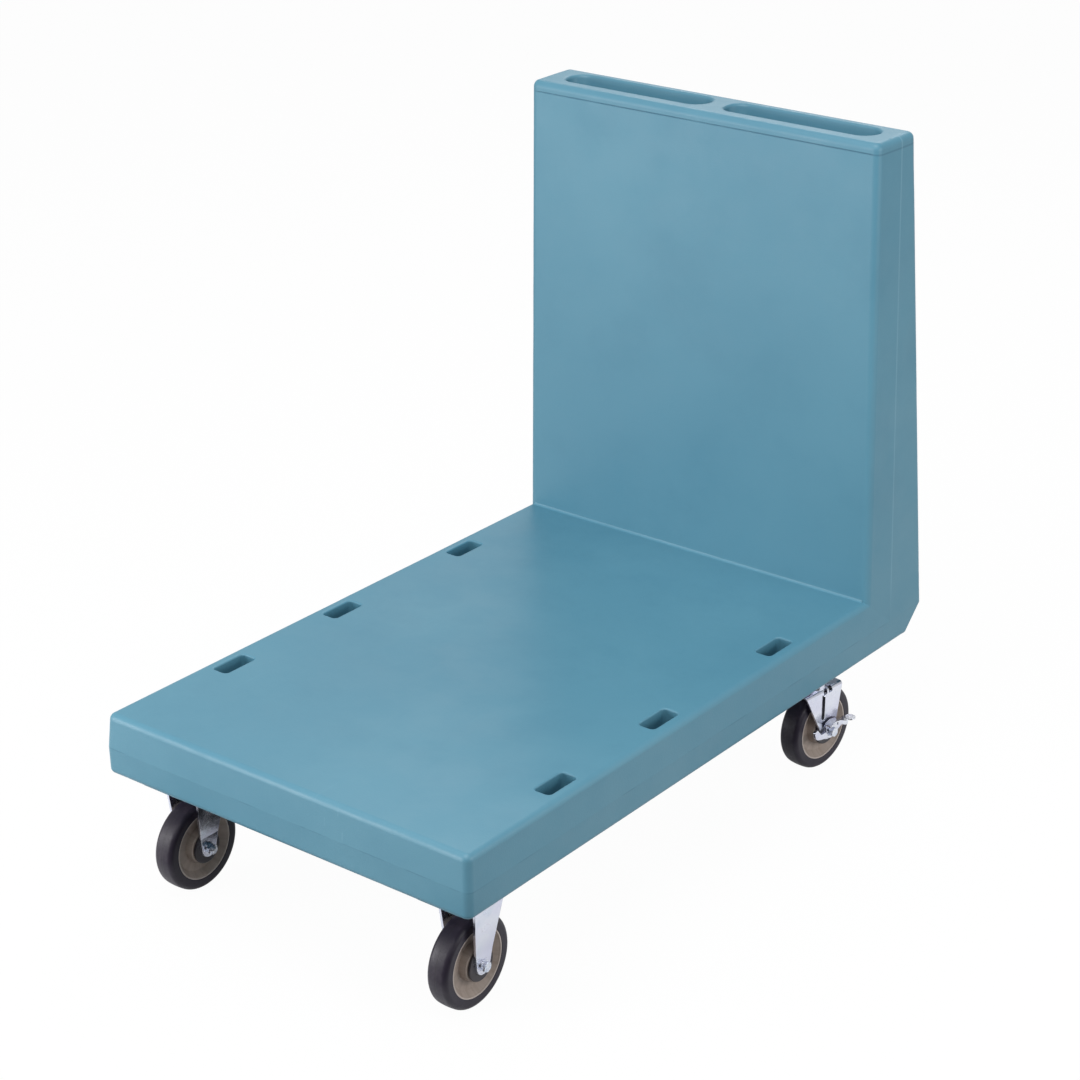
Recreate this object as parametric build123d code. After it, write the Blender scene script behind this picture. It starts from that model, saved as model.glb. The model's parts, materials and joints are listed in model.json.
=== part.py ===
from build123d import *
import math
import os

# A moulded platform cart: one hollow moulding (deck and push upright in one piece) on two
# rigid casters at the front and two braked swivel casters at the rear.
# Frame: millimetres, origin on the floor under the middle of the moulding,
# +X to the cart's right seen from the front, +Y towards the upright, +Z up.

# Moulding
WIDTH = 609.0
LENGTH = 1043.8
DECK_BOTTOM_Z = 180.6
PARTING_Z = 219.0
DECK_TOP_Z = 267.2
UPRIGHT_TOP_Z = 930.5
WALL = 6.0
DECK_TOP_DRAFT = 3.4
DECK_BOTTOM_DRAFT = 0.6
CORNER_RADIUS = 10.0
TOP_EDGE_RADIUS = 9.5
BOTTOM_EDGE_RADIUS = 7.5
INNER_CORNER_RADIUS = 4.0
INNER_CORNER_OVERRUN = 1.0

# Upright: distances behind the middle of the cart
UPRIGHT_FRONT_LOW_Y = 372.6
UPRIGHT_FRONT_TOP_Y = 359.8
UPRIGHT_RIDGE_LOW_Y = 433.1
UPRIGHT_RIDGE_TOP_Y = 414.9
UPRIGHT_BACK_TOP_Y = 450.7
UPRIGHT_NARROWING = 13.4
UPRIGHT_SIDE_DRAFT = 0.0406
BACK_CHAMFER_RUN = 39.0

# Strap slots through the deck
SLOT_WIDTH = 25.0
SLOT_LENGTH = 58.0
SLOT_CORNER_RADIUS = 6.0
SLOT_RIM_RADIUS = 2.5
SLOT_X = 272.0
SLOT_YS = (-312.0, -94.0, 176.0)

# Hand-hold pockets in the upright's top
POCKET_INNER_X = 14.5
POCKET_OUTER_X = 258.0
POCKET_FRONT_Y = 386.5
POCKET_MOUTH_WIDTH = 47.0
POCKET_FLOOR_WIDTH = 32.0
POCKET_END_SLOPE = 6.0
POCKET_DEPTH = 55.0
POCKET_RIM_RADIUS = 5.0
POCKET_FLOOR_RADIUS = 6.0

# Witness line of the mould's top plate, under the rounded top edge
WITNESS_Z = 915.0
WITNESS_WIDTH = 1.0
WITNESS_DEPTH = 0.7

# Caster places
CASTER_X = 233.5
FRONT_AXLE_Y = -439.0
REAR_SWIVEL_Y = 338.8
REST_SWIVEL_DEG = -6.4
SWIVEL_LEAD = 15.0
SIDES = {"right": 1, "left": -1}

# Caster plates, fasteners and the moulded pads that carry them
PLATE_TOP_Z = 163.0
PLATE_THICKNESS = 3.5
PLATE_BOTTOM_Z = PLATE_TOP_Z - PLATE_THICKNESS
PLATE_WIDTH = 67.0
PLATE_LENGTH = 108.0
PLATE_CORNER_RADIUS = 8.0
RIGID_PLATE_OFFSET = 8.0
HOLE_SPACING_X = 44.5
HOLE_SPACING_Y = 88.0
PLATE_HOLE_RADIUS = 4.5
PAD_MARGIN = 10.0
PAD_DRAFT_DEG = 4.0
PAD_CORNER_RADIUS = 14.0
INSERT_RADIUS = 6.5
INSERT_LENGTH = 15.0
INSERT_BORE_RADIUS = 4.05

# M8 hardware
BOLT_RADIUS = 4.0
ACROSS_FLATS = 13.0
HEAD_HEIGHT = 5.3
NUT_HEIGHT = 6.5
NUT_COLLAR_HEIGHT = 1.6
NUT_COLLAR_RADIUS = 5.4
BOLT_HOLE_RADIUS = 4.2
WASHER_RADIUS = 8.2
WASHER_THICKNESS = 1.6
SPRING_WASHER_RADIUS = 6.6
MOUNTING_BOLT_LENGTH = 18.0
BOLT_END_CHAMFER = 0.8
THREAD_TAIL = 3.0

# Wheel
WHEEL_RADIUS = 63.5
TREAD_HALF_WIDTH = 15.8
TREAD_FLAT_HALF = 9.5
TREAD_SHOULDER_RADIUS = 55.5
TREAD_SHOULDER_DROP = 0.5
RIM_RADIUS = 47.7
RIM_HALF_WIDTH = 15.2
RIM_LIP = 1.7
RIM_BAND_RADIUS = 51.0
RIM_BAND_HALF_WIDTH = 11.5
DISH_RADIUS = 38.5
WEB_HALF_THICKNESS = 6.0
HUB_RADIUS = 24.6
HUB_HALF_LENGTH = 17.5
HUB_BORE_RADIUS = 10.3

# Roller bearing on a steel sleeve
SLEEVE_RADIUS = 6.35
ROLLER_RADIUS = 1.9
ROLLER_COUNT = 10
ROLLER_LENGTH = 28.0
CAGE_INNER_RADIUS = 7.1
CAGE_OUTER_RADIUS = 9.7
CAGE_LENGTH = 34.0
CAGE_CLEARANCE = 0.1
GUARD_RADIUS = 23.0
GUARD_GAP = 0.5
GUARD_BORE_RADIUS = 6.45

# Caster forks, seen in the wheel's plane from the axle
FORK_INNER_HALF = 21.5
FORK_THICKNESS = 3.5
FORK_OUTER_HALF = FORK_INNER_HALF + FORK_THICKNESS
RIGID_LEG_END_RADIUS = 12.5
RIGID_LEG_FRONT_TOP_Y = -23.0
RIGID_LEG_REAR_TOP_Y = 37.0
RIGID_LEG_BEND_Z = 18.0
RIGID_LEG_SPLAY = 5.5
SWIVEL_LEG_END_RADIUS = 14.5
SWIVEL_LEG_FRONT_TOP_Y = -54.0
SWIVEL_LEG_REAR_TOP_Y = 28.0
RIB_RADIUS = 3.6
RIB_PROUD = 2.8
RIB_Y = -13.0
RIB_LOW_Z = 22.0
RIB_HIGH_Z = 58.0
NOTCH_YS = (-10.5, 1.0)
NOTCH_WIDTH = 7.5
NOTCH_LOW_Z = 60.5
NOTCH_INNER_X = 16.5

# Swivel head, heights above the floor and radii about the kingpin
CROWN_BOTTOM_Z = 128.7
CROWN_THICKNESS = 3.5
CROWN_TOP_Z = CROWN_BOTTOM_Z + CROWN_THICKNESS
CROWN_OUTER_BEND = 5.5
CROWN_INNER_BEND = 2.0
DISH_BOTTOM_Z = 141.0
RACE_SPLIT_LOW_Z = 151.0
RACE_SPLIT_HIGH_Z = 153.0
RACE_INNER_RADIUS = 12.0
RACE_OUTER_RADIUS = 22.5
RACE_PITCH_RADIUS = 17.25
RACE_BALL_RADIUS = 2.8
RACE_BALL_COUNT = 18
RACE_WALL = 3.0
RACE_GROOVE_GAP = 0.3
KINGPIN_RADIUS = 8.0
KINGPIN_CLEARANCE = 0.08
KINGPIN_FLANGE_RADIUS = 18.0
KINGPIN_FLANGE_BOTTOM_Z = 131.4
KINGPIN_FLANGE_TOP_Z = 135.4
LOWER_BALL_RADIUS = 2.5
LOWER_BALL_PITCH_RADIUS = 12.5
LOWER_BALL_COUNT = 12

# Side brake on the rear axles
BRAKE_CAM_RADIUS = 13.0
BRAKE_CAM_THICKNESS = 2.6
BRAKE_RAMP_COUNT = 3
BRAKE_RAMP_HEIGHT = 1.2
BRAKE_GAP = 0.3
LEVER_THICKNESS = 2.0
LEVER_HUB_RADIUS = 11.0
LEVER_FLANGE_REACH = 12.0
LEVER_LIP_DEPTH = 6.5
LEVER_LIP_START_Y = 3.0
LEVER_LIP_END_Y = 26.0
LEVER_TOP = [(-13, 14.5), (-2, 19.0), (9, 17.5), (21, 12.0), (35, 12.5)]  # along the wheel's plane
LEVER_BEND_RADIUS = 5.0
TOE_CENTRE_Y = 34.5
TOE_OVERHANG = 4.5
TOE_RADIUS = 8.0
HORN_OUTLINE = [(-6, 4), (-25, 2.5), (-33, 13), (-40, 11), (-36, -2), (-25, -5), (-6, -8)]
HORN_RADII = [0, 7, 3, 3, 8, 6, 0]
HORN_THICKNESS = 4.0
HORN_THICK_END_Y = -10.0


def ring_of(shape, radius, count, axis="Z"):
    """Copies of a shape spaced evenly on a circle of the given radius about an axis."""
    copies = []
    for index in range(count):
        angle = 360.0 * index / count
        if axis == "Z":
            copies.append(Rot(0, 0, angle) * Pos(radius, 0, 0) * shape)
        else:
            copies.append(Rot(angle, 0, 0) * Pos(0, radius, 0) * shape)
    return copies


def group(solids):
    """Separate solids kept together as one part."""
    return Compound(children=list(solids))


def across(shape, start_x=0.0):
    """Turn a shape drawn up the Z axis so that it lies along +X from start_x."""
    return Pos(start_x, 0, 0) * Rot(0, 90, 0) * shape


def turned(points, axis=Axis.X):
    """Solid of revolution of a closed outline."""
    plane = Plane.XY if axis == Axis.X else Plane.XZ
    return revolve(make_face(plane * Polyline(*points, close=True)), axis)


def tube(outer_radius, inner_radius, length):
    """Plain tube standing on the XY plane."""
    align = (Align.CENTER, Align.CENTER, Align.MIN)
    return Cylinder(outer_radius, length, align=align) - Cylinder(inner_radius, length, align=align)


# ---------------------------------------------------------------- moulding

def section(points, radii, height):
    """Horizontal outline at a height, with a radius for each corner."""
    outline = FilletPolyline(*points, radius=radii, close=True)
    return make_face(Pos(0, 0, height) * outline)


def deck_block(inset):
    """Deck up to its top face, shrunk on every side by the inset."""
    half = WIDTH / 2 - inset
    front = -LENGTH / 2 + inset
    rear = LENGTH / 2 - inset
    radius = max(CORNER_RADIUS - inset, 3.0)
    all_round = [radius] * 4

    def rectangle(half_width, front_y, rear_y):
        right = [(half_width, front_y), (half_width, rear_y)]
        return right + [(-x, y) for x, y in reversed(right)]

    low_half = half - DECK_BOTTOM_DRAFT
    low_outline = rectangle(low_half, front + DECK_BOTTOM_DRAFT, rear - BACK_CHAMFER_RUN)
    low = section(low_outline, all_round, DECK_BOTTOM_Z + inset)
    middle = section(rectangle(half, front, rear), all_round, PARTING_Z)
    lower_half = loft([low, middle], ruled=True)

    front_round = [radius, 0, 0, radius]
    ridge = UPRIGHT_RIDGE_LOW_Y
    base = section(rectangle(half, front, ridge), front_round, PARTING_Z)
    top_half = half - DECK_TOP_DRAFT
    top_outline = rectangle(top_half, front + DECK_TOP_DRAFT, ridge)
    top = section(top_outline, front_round, DECK_TOP_Z - inset)
    upper_half = loft([base, top], ruled=True)
    return lower_half, upper_half


def upright_block(inset):
    """Push upright from the parting height to its top, shrunk on every side by the inset."""
    radius = max(CORNER_RADIUS - inset, 3.0)
    radii = [radius, 0, radius, radius, 0, radius]

    def outline(front_y, ridge_y, back_y, ridge_half):
        front_half = ridge_half - UPRIGHT_SIDE_DRAFT * (ridge_y - front_y)
        right = [(front_half, front_y), (ridge_half, ridge_y), (ridge_half, back_y)]
        left = [(-x, y) for x, y in reversed(right)]
        return right + left

    half = WIDTH / 2 - inset
    low_front = UPRIGHT_FRONT_LOW_Y + inset
    low = outline(low_front, UPRIGHT_RIDGE_LOW_Y, LENGTH / 2 - inset, half)
    top_front = UPRIGHT_FRONT_TOP_Y + inset
    top_back = UPRIGHT_BACK_TOP_Y - inset
    top = outline(top_front, UPRIGHT_RIDGE_TOP_Y, top_back, half - UPRIGHT_NARROWING)
    low_section = section(low, radii, PARTING_Z)
    top_section = section(top, radii, UPRIGHT_TOP_Z - inset)
    return loft([low_section, top_section], ruled=True)


def edges_at_height(shape, height):
    """Edges that lie in a horizontal plane at a height."""
    return shape.edges().filter_by_position(Axis.Z, height - 0.01, height + 0.01)


def outer_body():
    """Outside shape of the moulding, its long edges rounded."""
    lower_half, upper_half = deck_block(0)
    lower_half = fillet(edges_at_height(lower_half, DECK_BOTTOM_Z), BOTTOM_EDGE_RADIUS)
    top_edges = edges_at_height(upper_half, DECK_TOP_Z)
    top_edges = top_edges.filter_by(lambda edge: edge.center().Y < UPRIGHT_RIDGE_LOW_Y - 1)
    upper_half = fillet(top_edges, TOP_EDGE_RADIUS)
    upright = upright_block(0)
    upright = fillet(edges_at_height(upright, UPRIGHT_TOP_Z), TOP_EDGE_RADIUS)
    return lower_half + upper_half + upright


def inner_cavity():
    """Hollow inside of the moulding."""
    lower_half, upper_half = deck_block(WALL)
    return lower_half + upper_half + upright_block(WALL)


def inner_corner_fillet():
    """Concave rounding along the foot of the upright."""
    lean = (UPRIGHT_FRONT_TOP_Y - UPRIGHT_FRONT_LOW_Y) / (UPRIGHT_TOP_Z - PARTING_Z)
    foot_y = UPRIGHT_FRONT_LOW_Y + lean * (DECK_TOP_Z - PARTING_Z)
    radius = INNER_CORNER_RADIUS
    length = WIDTH - 2 * (DECK_TOP_DRAFT + TOP_EDGE_RADIUS - INNER_CORNER_OVERRUN)
    square = Pos(0, foot_y - radius / 2 + 0.25, DECK_TOP_Z + radius / 2 - 0.25)
    block = square * Box(length, radius + 0.5, radius + 0.5)
    scoop = Pos(0, foot_y - radius, DECK_TOP_Z + radius) * Rot(0, 90, 0) * Cylinder(radius, length + 2)
    return block - scoop


def rounded_box(width, length, height, radius, low_z):
    """Upright box with rounded corners, standing at low_z on the axis."""
    return Pos(0, 0, low_z) * extrude(RectangleRounded(width, length, radius), height)


def slot_places():
    """Centres of the strap slots."""
    return [Pos(side * SLOT_X, y, 0) for side in SIDES.values() for y in SLOT_YS]


def slot_prism(margin=0.0):
    """Rounded prism the size of a strap slot, widened by a margin."""
    width = SLOT_WIDTH + 2 * margin
    length = SLOT_LENGTH + 2 * margin
    height = DECK_TOP_Z - DECK_BOTTOM_Z + 20
    return rounded_box(width, length, height, SLOT_CORNER_RADIUS + margin, DECK_BOTTOM_Z - 10)


def pocket_block(side, margin=0.0):
    """Hand-hold pocket, widened by a margin: a steep front wall, with the rear and ends sloping in."""
    centre_x = side * (POCKET_OUTER_X + POCKET_INNER_X) / 2
    mouth_length = POCKET_OUTER_X - POCKET_INNER_X + 2 * margin
    floor_z = UPRIGHT_TOP_Z - POCKET_DEPTH - margin

    def outline(length, width, height):
        centre_y = POCKET_FRONT_Y + width / 2
        return Pos(centre_x, centre_y, height) * SlotOverall(length, width + 2 * margin)

    floor = outline(mouth_length - 2 * POCKET_END_SLOPE, POCKET_FLOOR_WIDTH, floor_z)
    mouth = outline(mouth_length, POCKET_MOUTH_WIDTH, UPRIGHT_TOP_Z)
    block = loft([floor, mouth], ruled=True) + extrude(mouth, 10, dir=(0, 0, 1))
    return fillet(edges_at_height(block, floor_z), POCKET_FLOOR_RADIUS)


def caster_pad(x, y):
    """Solid pad under the deck that a caster plate is bolted to."""
    height = DECK_BOTTOM_Z - PLATE_TOP_Z + WALL / 2
    width = PLATE_WIDTH + 2 * PAD_MARGIN
    length = PLATE_LENGTH + 2 * PAD_MARGIN
    foot = RectangleRounded(width, length, PAD_CORNER_RADIUS)
    return Pos(x, y, PLATE_TOP_Z) * extrude(foot, height, taper=-PAD_DRAFT_DEG)


def pad_centres():
    """Middle of each caster plate on the cart."""
    places = []
    for side in SIDES.values():
        places.append((side * CASTER_X, FRONT_AXLE_Y + RIGID_PLATE_OFFSET))
        places.append((side * CASTER_X, REAR_SWIVEL_Y))
    return places


def fastener_places():
    """Every caster bolt's axis on the cart."""
    places = []
    for x, y in pad_centres():
        for step_x in (-0.5, 0.5):
            for step_y in (-0.5, 0.5):
                places.append(Pos(x + step_x * HOLE_SPACING_X, y + step_y * HOLE_SPACING_Y, 0))
    return places


def witness_line():
    """Shallow groove left by the mould's top plate across the upright's front."""
    lean = (UPRIGHT_FRONT_TOP_Y - UPRIGHT_FRONT_LOW_Y) / (UPRIGHT_TOP_Z - PARTING_Z)
    face_y = UPRIGHT_FRONT_LOW_Y + lean * (WITNESS_Z - PARTING_Z)
    length = WIDTH - 2 * (UPRIGHT_NARROWING + CORNER_RADIUS + DECK_TOP_DRAFT)
    return Pos(0, face_y, WITNESS_Z) * Rot(45, 0, 0) * Box(length, WITNESS_DEPTH * 1.4, WITNESS_WIDTH)


def platform_moulding():
    """Deck and upright, one hollow piece with slots, pockets and caster pads."""
    cavity = inner_cavity()
    for place in slot_places():
        cavity -= place * slot_prism(WALL)
    for side in SIDES.values():
        cavity -= pocket_block(side, WALL)
    body = outer_body() + inner_corner_fillet()
    for x, y in pad_centres():
        body += caster_pad(x, y)
    body -= witness_line()
    for place in slot_places():
        body -= place * slot_prism()
    slot_rims = edges_at_height(body, DECK_TOP_Z).filter_by(is_slot_rim)
    body = fillet(slot_rims, SLOT_RIM_RADIUS)
    for side in SIDES.values():
        body -= pocket_block(side)
    pocket_rims = edges_at_height(body, UPRIGHT_TOP_Z).filter_by(is_pocket_rim)
    body = fillet(pocket_rims, POCKET_RIM_RADIUS)
    bore = Cylinder(INSERT_RADIUS, INSERT_LENGTH, align=(Align.CENTER, Align.CENTER, Align.MIN))
    for place in fastener_places():
        body -= place * Pos(0, 0, PLATE_TOP_Z) * bore
    return body - cavity


def is_slot_rim(edge):
    """True for an edge round one of the strap slots."""
    middle = edge.center()
    near_x = abs(abs(middle.X) - SLOT_X) < SLOT_WIDTH / 2 + 0.5
    return near_x and any(abs(middle.Y - y) < SLOT_LENGTH / 2 + 0.5 for y in SLOT_YS)


def is_pocket_rim(edge):
    """True for an edge round one of the hand-hold pockets."""
    middle = edge.center()
    beyond_front = middle.Y - POCKET_FRONT_Y
    return -0.5 < beyond_front < POCKET_MOUTH_WIDTH + 0.5 and abs(middle.X) < POCKET_OUTER_X + 0.5


# ---------------------------------------------------------------- fasteners

def hexagon(height):
    """Hexagon prism with its upper corners turned off."""
    corner = ACROSS_FLATS / math.sqrt(3)
    prism = extrude(RegularPolygon(corner, 6), height)
    bevel = (corner - ACROSS_FLATS / 2) * 0.6
    rim = [(corner, 0), (corner, height - bevel), (corner - 2 * bevel, height)]
    cone = turned([(0, 0)] + rim + [(0, height)], Axis.Z)
    return prism & cone


def bolt(length):
    """Hexagon bolt: head up from z = 0, shank down to -length."""
    shank = Cylinder(BOLT_RADIUS, length, align=(Align.CENTER, Align.CENTER, Align.MAX))
    shank = chamfer(shank.edges().sort_by(Axis.Z)[0], BOLT_END_CHAMFER)
    return hexagon(HEAD_HEIGHT) + shank


def lock_nut():
    """Lock nut standing on z = 0, with the collar that holds its nylon ring."""
    collar = Pos(0, 0, NUT_HEIGHT) * tube(NUT_COLLAR_RADIUS, BOLT_HOLE_RADIUS, NUT_COLLAR_HEIGHT)
    bore = Cylinder(BOLT_HOLE_RADIUS, 3 * NUT_HEIGHT)
    return (hexagon(NUT_HEIGHT) - bore) + collar


def threaded_inserts():
    """Steel inserts moulded into the caster pads."""
    insert = Pos(0, 0, PLATE_TOP_Z) * tube(INSERT_RADIUS, INSERT_BORE_RADIUS, INSERT_LENGTH)
    return group(place * insert for place in fastener_places())


def mounting_bolts():
    """Bolts that hold the four caster plates."""
    seat = PLATE_BOTTOM_Z - WASHER_THICKNESS
    one = Pos(0, 0, seat) * Rot(180, 0, 0) * bolt(MOUNTING_BOLT_LENGTH)
    return group(place * one for place in fastener_places())


def spring_washers():
    """Split lock washers under the mounting bolts' heads."""
    ring = tube(SPRING_WASHER_RADIUS, BOLT_HOLE_RADIUS, WASHER_THICKNESS)
    ring -= Pos(SPRING_WASHER_RADIUS, 0, 0) * Rot(20, 0, 0) * Box(2 * SPRING_WASHER_RADIUS, 1.0, 10)
    ring = Pos(0, 0, PLATE_BOTTOM_Z - WASHER_THICKNESS) * ring
    return group(place * ring for place in fastener_places())


# ---------------------------------------------------------------- wheels
# Drawn about the X axis, with the wheel's middle at the origin.

def mirrored_profile(right_half):
    """Closed outline from its right half, listed from the middle outwards."""
    return right_half + [(-x, radius) for x, radius in reversed(right_half)]


def wheel_core():
    """Moulded wheel centre: hub, dished web and rim with a raised lip."""
    rim_slope_x = RIM_HALF_WIDTH - RIM_LIP
    half = [
        (HUB_HALF_LENGTH, HUB_BORE_RADIUS),
        (HUB_HALF_LENGTH, HUB_RADIUS - 1),
        (HUB_HALF_LENGTH - 1, HUB_RADIUS),
        (WEB_HALF_THICKNESS, HUB_RADIUS + 1),
        (WEB_HALF_THICKNESS, DISH_RADIUS),
        (rim_slope_x, RIM_RADIUS - RIM_LIP - 1),
        (RIM_HALF_WIDTH, RIM_RADIUS - RIM_LIP),
        (RIM_HALF_WIDTH, RIM_RADIUS),
        (RIM_BAND_HALF_WIDTH, RIM_RADIUS + 1),
        (RIM_BAND_HALF_WIDTH, RIM_BAND_RADIUS),
    ]
    return turned(mirrored_profile(half))


def tread():
    """Rubber tread bonded round the rim, with a crowned face and rounded shoulders."""
    shoulder = WHEEL_RADIUS - TREAD_SHOULDER_DROP
    middle_x = TREAD_FLAT_HALF + (TREAD_HALF_WIDTH - TREAD_FLAT_HALF) * math.sin(math.radians(45))
    middle_r = TREAD_SHOULDER_RADIUS + (shoulder - TREAD_SHOULDER_RADIUS) * math.cos(math.radians(45))
    flat_end = (TREAD_FLAT_HALF, shoulder)
    side_top = (TREAD_HALF_WIDTH, TREAD_SHOULDER_RADIUS)
    inner = [
        side_top,
        (TREAD_HALF_WIDTH, RIM_RADIUS + 0.6),
        (RIM_HALF_WIDTH, RIM_RADIUS),
        (RIM_BAND_HALF_WIDTH, RIM_RADIUS + 1),
        (RIM_BAND_HALF_WIDTH, RIM_BAND_RADIUS),
    ]
    under = inner + [(-x, radius) for x, radius in reversed(inner)]
    crown = ThreePointArc((-TREAD_FLAT_HALF, shoulder), (0, WHEEL_RADIUS), flat_end)
    right = ThreePointArc(flat_end, (middle_x, middle_r), side_top)
    left = mirror(right, Plane.YZ)
    return revolve(make_face([crown, right, Polyline(*under), left]), Axis.X)


def bearing_rollers():
    """Steel rollers between the hub's bore and the sleeve."""
    pitch = (SLEEVE_RADIUS + HUB_BORE_RADIUS) / 2
    roller = Rot(0, 90, 0) * Cylinder(ROLLER_RADIUS, ROLLER_LENGTH)
    return group(ring_of(roller, pitch, ROLLER_COUNT, "X"))


def bearing_cage():
    """Plastic cage that spaces the rollers."""
    pitch = (SLEEVE_RADIUS + HUB_BORE_RADIUS) / 2
    cage = across(tube(CAGE_OUTER_RADIUS, CAGE_INNER_RADIUS, CAGE_LENGTH), -CAGE_LENGTH / 2)
    pocket = Rot(0, 90, 0) * Cylinder(ROLLER_RADIUS + CAGE_CLEARANCE, ROLLER_LENGTH + 2 * CAGE_CLEARANCE)
    for cutter in ring_of(pocket, pitch, ROLLER_COUNT, "X"):
        cage -= cutter
    return cage


def axle_sleeve():
    """Steel sleeve clamped between the fork's legs, on which the wheel turns."""
    length = 2 * FORK_INNER_HALF
    return across(tube(SLEEVE_RADIUS, BOLT_HOLE_RADIUS, length), -FORK_INNER_HALF)


def thread_guards():
    """Two plastic discs on the sleeve that keep thread out of the bearing."""
    start = HUB_HALF_LENGTH + GUARD_GAP
    disc = tube(GUARD_RADIUS, GUARD_BORE_RADIUS, FORK_INNER_HALF - start)
    rim = disc.edges().filter_by(GeomType.CIRCLE).filter_by(lambda edge: edge.radius > GUARD_RADIUS - 0.1)
    disc = fillet(rim, 1.2)
    return group([across(disc, start), across(disc, -FORK_INNER_HALF)])


def axle_bolt(head_x):
    """Axle bolt with its head's seat at head_x, reaching past the nut on the far leg."""
    tail_x = -(FORK_OUTER_HALF + WASHER_THICKNESS + NUT_HEIGHT + THREAD_TAIL)
    return across(bolt(head_x - tail_x), head_x)


def axle_nut():
    """Lock nut outside the far leg."""
    seat = FORK_OUTER_HALF + WASHER_THICKNESS
    return Pos(-seat, 0, 0) * Rot(0, -90, 0) * lock_nut()


def axle_washers(head_x):
    """Flat washers under the axle bolt's head and nut."""
    washer = tube(WASHER_RADIUS, BOLT_HOLE_RADIUS, WASHER_THICKNESS)
    near = across(washer, head_x - WASHER_THICKNESS)
    far = across(washer, -FORK_OUTER_HALF - WASHER_THICKNESS)
    return group([near, far])


# ---------------------------------------------------------------- forks
# Drawn with the axle along X through the origin, heights measured from the axle.

def from_axle(height):
    """Height above the axle of a height above the floor."""
    return height - WHEEL_RADIUS


def leg_outline(end_radius, front_top, rear_top):
    """Leg seen from the side: a round end on the axle, with straight edges to two top corners."""

    def tangent_point(corner, side):
        reach = math.hypot(*corner)
        angle = math.atan2(corner[1], corner[0]) + side * math.acos(end_radius / reach)
        return (end_radius * math.cos(angle), end_radius * math.sin(angle))

    front = tangent_point(front_top, 1)
    rear = tangent_point(rear_top, -1)
    round_end = ThreePointArc(front, (0, -end_radius), rear)
    edges = [round_end, Line(rear, rear_top), Line(rear_top, front_top), Line(front_top, front)]
    return Plane.YZ * make_face(edges)


def swept_across(face):
    """Thick slab of a side outline, wide enough to hold both legs."""
    return extrude(face, 60, both=True)


def leg_strip(bend_z, top_z, splay, low_z):
    """Leg seen from the front: straight by the axle, then splayed up to the plate."""
    points = [
        (FORK_INNER_HALF, low_z),
        (FORK_OUTER_HALF, low_z),
        (FORK_OUTER_HALF, bend_z),
        (FORK_OUTER_HALF + splay, top_z),
        (FORK_INNER_HALF + splay, top_z),
        (FORK_INNER_HALF, bend_z),
    ]
    return extrude(make_face(Plane.XZ * Polyline(*points, close=True)), 80, both=True)


def axle_hole():
    """Cutter for the bolt hole through both legs."""
    return Rot(0, 90, 0) * Cylinder(BOLT_HOLE_RADIUS, 80)


def caster_plate(centre_y):
    """Top plate with four bolt holes."""
    plate = extrude(RectangleRounded(PLATE_WIDTH, PLATE_LENGTH, PLATE_CORNER_RADIUS), PLATE_THICKNESS)
    hole = Cylinder(PLATE_HOLE_RADIUS, 20)
    for place in GridLocations(HOLE_SPACING_X, HOLE_SPACING_Y, 2, 2):
        plate -= place * hole
    return Pos(0, centre_y, from_axle(PLATE_BOTTOM_Z)) * plate


def rigid_fork():
    """Fixed caster frame: a plate with two legs bent down from it."""
    top = from_axle(PLATE_BOTTOM_Z)
    front_top = (RIGID_LEG_FRONT_TOP_Y, top)
    rear_top = (RIGID_LEG_REAR_TOP_Y, top)
    side = leg_outline(RIGID_LEG_END_RADIUS, front_top, rear_top)
    leg = swept_across(side) & leg_strip(RIGID_LEG_BEND_Z, top, RIGID_LEG_SPLAY, -20)
    legs = leg + mirror(leg, Plane.YZ)
    return caster_plate(RIGID_PLATE_OFFSET) + (legs - axle_hole())


def channel():
    """Fork's front view: a flat crown bent down into two straight legs."""
    low = -2 * SWIVEL_LEG_END_RADIUS
    under = from_axle(CROWN_BOTTOM_Z)
    top = from_axle(CROWN_TOP_Z)
    right = [(FORK_INNER_HALF, under), (FORK_INNER_HALF, low), (FORK_OUTER_HALF, low), (FORK_OUTER_HALF, top)]
    left = [(-x, z) for x, z in reversed(right)]
    bends = [CROWN_INNER_BEND, 0, 0, CROWN_OUTER_BEND]
    outline = FilletPolyline(*right, *left, radius=bends + bends[::-1], close=True)
    return extrude(make_face(Plane.XZ * outline), 80, both=True)


def dome_profile():
    """Half section of the crown's ball race about the kingpin, from the axle's height."""
    low = from_axle(CROWN_BOTTOM_Z)
    dish = from_axle(DISH_BOTTOM_Z)
    race = from_axle(RACE_SPLIT_LOW_Z)
    under_race = race - 1.5 * CROWN_THICKNESS
    bore = KINGPIN_RADIUS + KINGPIN_CLEARANCE
    return [
        (bore, dish),
        (RACE_INNER_RADIUS + RACE_WALL, dish),
        (RACE_INNER_RADIUS + RACE_WALL + 1, under_race),
        (RACE_OUTER_RADIUS - RACE_WALL - 1, under_race),
        (RACE_OUTER_RADIUS - RACE_WALL, low),
        (RACE_OUTER_RADIUS, low),
        (RACE_OUTER_RADIUS - 1, race),
        (RACE_INNER_RADIUS + 1, race),
        (RACE_INNER_RADIUS, dish + CROWN_THICKNESS),
        (bore, dish + CROWN_THICKNESS),
    ]


def ball_height():
    """Height of the main ball ring's centres above the axle."""
    return from_axle((RACE_SPLIT_LOW_Z + RACE_SPLIT_HIGH_Z) / 2)


def ball_groove():
    """Ring-shaped groove that the main balls run in."""
    return Pos(0, 0, ball_height()) * Torus(RACE_PITCH_RADIUS, RACE_BALL_RADIUS + RACE_GROOVE_GAP)


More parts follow.
